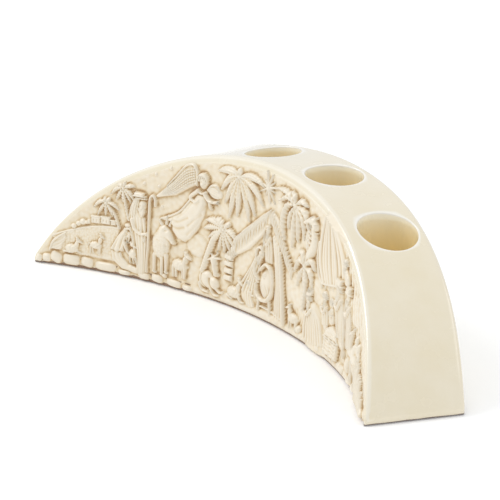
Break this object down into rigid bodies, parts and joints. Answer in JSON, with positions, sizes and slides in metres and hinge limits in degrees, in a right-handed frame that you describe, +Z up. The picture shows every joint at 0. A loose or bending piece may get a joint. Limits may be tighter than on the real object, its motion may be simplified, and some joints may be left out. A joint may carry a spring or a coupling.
{
  "type": "ceramic arch candle holder",
  "caption": "Crescent shaped ceramic arch with round taper candle holes along its plain top band and a bas-relief Nativity scene on its concave front face.",
  "frame": {"origin": "on the table, under the middle of the arch's foot", "axes": "+Z up, +X along the arch's long way, the relief scene faces -Y"},
  "size_m": [0.261, 0.0736, 0.0626],
  "materials": {
    "ivory_glaze": "gloss",
    "antiqued_glaze": "satin",
    "bare_foot": "matte"
  },
  "bodies": {
    "root": {"angel_hand": "antiqued_glaze", "angel_head": "antiqued_glaze", "angel_long_wing": "antiqued_glaze", "angel_robe": "antiqued_glaze", "angel_short_wing": "antiqued_glaze", "back_wall": "ivory_glaze", "base_slab": "bare_foot", "bushes": "antiqued_glaze", "camel_driver": "antiqued_glaze", "camel_head": "antiqued_glaze", "camel_neck": "antiqued_glaze", "candle_cup_1": "ivory_glaze", "candle_cup_2": "ivory_glaze", "candle_cup_3": "ivory_glaze", "candle_cup_4": "ivory_glaze", "carried_lamb": "antiqued_glaze", "cobbles": "antiqued_glaze", "donkey": "antiqued_glaze", "far_palm_left": "antiqued_glaze", "far_palm_right": "antiqued_glaze", "gift_bearer": "antiqued_glaze", "gift_chest": "antiqued_glaze", "grazing_sheep": "antiqued_glaze", "guiding_star": "antiqued_glaze", "hill_pasture": "antiqued_glaze", "joseph": "antiqued_glaze", "kings_camel": "antiqued_glaze", "kings_tent": "antiqued_glaze", "kneeling_boy": "antiqued_glaze", "kneeling_king": "antiqued_glaze", "kneeling_shepherd": "antiqued_glaze", "lying_sheep": "antiqued_glaze", "mother_and_child": "antiqued_glaze", "near_palm": "antiqued_glaze", "old_shepherd": "antiqued_glaze", "ox_head": "antiqued_glaze", "relief_panel": "antiqued_glaze", "resting_ox": "antiqued_glaze", "right_bushes": "antiqued_glaze", "rock_fold": "antiqued_glaze", "roof_left_slope": "antiqued_glaze", "roof_right_slope": "antiqued_glaze", "sheep_by_the_post": "antiqued_glaze", "shepherd_crook": "antiqued_glaze", "sky_pearls": "antiqued_glaze", "small_palm": "antiqued_glaze", "small_sheep": "antiqued_glaze", "stable_curtain": "antiqued_glaze", "standing_king": "antiqued_glaze", "standing_lamb": "antiqued_glaze", "star_palm": "antiqued_glaze", "stone_post": "antiqued_glaze", "tall_palm": "antiqued_glaze", "tall_shepherd_cap": "antiqued_glaze", "tall_shepherd_head": "antiqued_glaze", "tall_shepherd_robe": "antiqued_glaze", "timber_post": "antiqued_glaze", "top_band": "ivory_glaze", "town_houses": "antiqued_glaze"}
  },
  "joints": []
}
